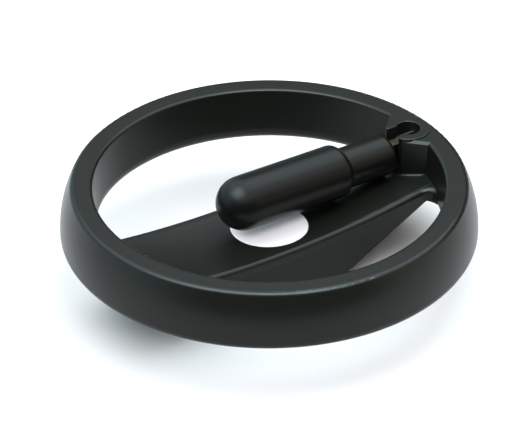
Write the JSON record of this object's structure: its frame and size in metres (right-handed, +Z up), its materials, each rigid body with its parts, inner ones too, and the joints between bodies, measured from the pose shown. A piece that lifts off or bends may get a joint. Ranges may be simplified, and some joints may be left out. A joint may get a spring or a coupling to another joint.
{
  "type": "machine handwheel",
  "caption": "Round handwheel with a dished bar web, a capped keyed hub and a fold-away revolving crank handle on a pivot boss in the rim.",
  "frame": {"origin": "on the shaft axis, in the plane of the hub's seat", "axes": "+Z up along the shaft axis towards the rim's flat top face, +X from the shaft axis to the handle's pivot boss"},
  "size_m": [0.16, 0.16, 0.0466],
  "materials": {
    "wheel_black": "fine matt moulded",
    "handle_black": "fine matt moulded",
    "cap_grey": "smooth matt moulded",
    "zinc_steel": "zinc plated, warm yellow passivation",
    "bright_steel": "turned and ground",
    "spring_steel": "drawn spring wire"
  },
  "bodies": {
    "wheel": {"wheel_body": "wheel_black", "hub_bushing": "bright_steel", "hub_cap": "cap_grey", "pivot_pin": "bright_steel"},
    "rod": {"tang_rod": "zinc_steel", "spring_washer": "zinc_steel", "lock_nut": "zinc_steel", "return_spring": "spring_steel"},
    "stem": {"stem": "handle_black", "snap_ring": "spring_steel"},
    "grip": {"grip": "handle_black"}
  },
  "joints": [
    {"name": "handle_fold", "type": "hinge", "parent": "wheel", "child": "rod", "pos_m": [0.066, 0, 0.03315], "axis": [0, 1, 0], "range_deg": [0, 87.9]},
    {"name": "handle_pull", "type": "slide", "parent": "rod", "child": "stem", "axis": [-0.9993, 0, 0.0366], "range_m": [0, 0.004], "stiffness_N_per_m": 2000, "springref_m": -0.004, "deforming": ["return_spring"]},
    {"name": "grip_spin", "type": "hinge", "parent": "stem", "child": "grip", "pos_m": [0.00604, 0, 0.03535], "axis": [-0.9993, 0, 0.0366], "continuous": true}
  ]
}
